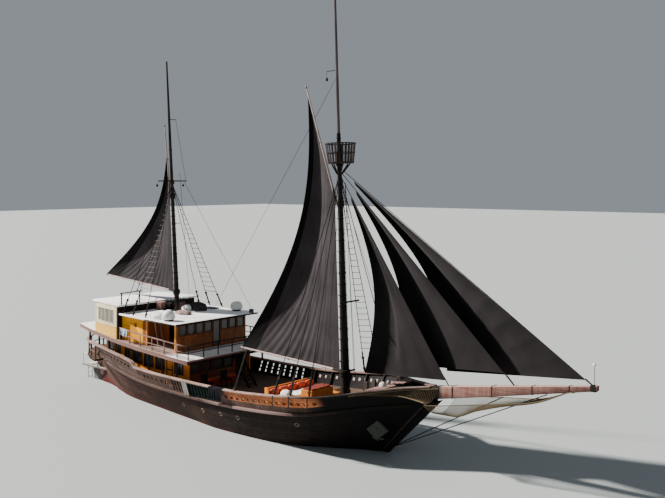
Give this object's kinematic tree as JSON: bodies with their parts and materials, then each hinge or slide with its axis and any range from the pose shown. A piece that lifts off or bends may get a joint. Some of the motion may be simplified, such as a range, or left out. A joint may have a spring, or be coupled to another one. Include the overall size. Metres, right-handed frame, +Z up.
{
  "type": "half-size scale model of a two-masted phinisi sailing ship",
  "caption": "Two-masted wooden phinisi with a long bowsprit, gaff sails, headsails and stepped deckhouses.",
  "frame": {"origin": "amidships on the waterline, in the ship's middle plane", "axes": "+X towards the bow, +Y to port, +Z up"},
  "size_m": [22.1275, 4.46, 16.1008],
  "materials": {
    "hull_planking": "worn dark oiled planking, red below the waterline",
    "bulwark_planking": "weathered pinkish brown paint over planks",
    "rail_wood": "sun-bleached pinkish timber",
    "dark_wood": "near-black oiled timber",
    "spar_wood": "oiled round spar",
    "orange_varnish": "orange varnished panelling",
    "yellow_paint": "yellow painted boards",
    "cream_paint": "cream painted boards",
    "white_paint": "white painted deck, weathered",
    "sailcloth": "charcoal canvas",
    "white_fabric": "white cotton cover",
    "red_fabric": "red woven cushion cover",
    "rope": "tarred rope",
    "net_cord": "pale knotted net",
    "black_iron": "painted iron, chipped",
    "bronze": "dull bronze"
  },
  "bodies": {
    "ship": {"hull": "hull_planking", "bulwark_port": "bulwark_planking", "bulwark_starboard": "bulwark_planking", "cap_rail": "rail_wood", "bowsprit": "rail_wood", "bowsprit_net": "net_cord", "gallery_balustrade": "rail_wood", "stern_platform": "white_paint", "lower_side_port": "orange_varnish", "lower_side_starboard": "orange_varnish", "lower_front": "orange_varnish", "lower_aft": "orange_varnish", "boat_deck": "white_paint", "side_frame_port": "dark_wood", "side_frame_starboard": "dark_wood", "boat_deck_railing": "rail_wood", "wheelhouse_front": "orange_varnish", "wheelhouse_side_port": "yellow_paint", "wheelhouse_side_starboard": "yellow_paint", "wheelhouse_roof": "white_paint", "cabin_side_port": "cream_paint", "cabin_side_starboard": "cream_paint", "cabin_front": "dark_wood", "cabin_aft": "cream_paint", "cabin_roof": "white_paint", "front_stair": "rail_wood", "front_bench": "orange_varnish", "front_bench_cushion": "red_fabric", "lounge_frame": "orange_varnish", "lounge_mattress": "white_fabric", "lounge_cushions": "red_fabric", "windlass": "black_iron", "anchor_port": "black_iron", "anchor_starboard": "black_iron", "main_lower_mast": "dark_wood", "main_topmast": "spar_wood", "crow_nest": "orange_varnish", "headsail_inner": "sailcloth", "headsail_middle": "sailcloth", "headsail_outer": "sailcloth", "forestay_inner": "rope", "forestay_middle": "rope", "forestay_outer": "rope", "main_shrouds": "rope", "mizzen_mast": "dark_wood", "mizzen_shrouds": "rope", "mizzen_crosstree": "dark_wood", "dome_port": "white_paint", "dome_starboard": "white_paint", "roof_lockers": "rail_wood"},
    "main_boom": {"main_boom": "spar_wood", "main_gaff": "spar_wood", "mainsail": "sailcloth"},
    "mizzen_boom": {"mizzen_boom": "spar_wood", "mizzen_gaff": "spar_wood", "mizzen_sail": "sailcloth"},
    "rudder": {"rudder": "hull_planking"},
    "propeller": {"propeller": "bronze"},
    "door_port": {"lower_door_port": "orange_varnish"},
    "door_starboard": {"lower_door_starboard": "orange_varnish"}
  },
  "joints": [
    {"name": "main_boom_swing", "type": "hinge", "parent": "ship", "child": "main_boom", "pos_m": [5.435, 0, 1.25], "axis": [-0.0347, 0, 0.9994], "range_deg": [-40, 40]},
    {"name": "mizzen_boom_swing", "type": "hinge", "parent": "ship", "child": "mizzen_boom", "pos_m": [-2.595, 0, 1.08], "axis": [-0.0671, 0, 0.9977], "range_deg": [-35, 35]},
    {"name": "rudder_turn", "type": "hinge", "parent": "ship", "child": "rudder", "pos_m": [-7.375, 0, 0], "axis": [-0.4179, 0, 0.9085], "range_deg": [-35, 35]},
    {"name": "propeller_spin", "type": "hinge", "parent": "ship", "child": "propeller", "pos_m": [-6.7355, 0, -0.575], "axis": [1, 0, 0], "continuous": true},
    {"name": "port_door_swing", "type": "hinge", "parent": "ship", "child": "door_port", "pos_m": [-1.185, 1.4643, 1.4], "axis": [0, 0, -1], "range_deg": [0, 95]},
    {"name": "starboard_door_swing", "type": "hinge", "parent": "ship", "child": "door_starboard", "pos_m": [-1.185, -1.4643, 1.4], "axis": [0, 0, 1], "range_deg": [0, 95]}
  ]
}
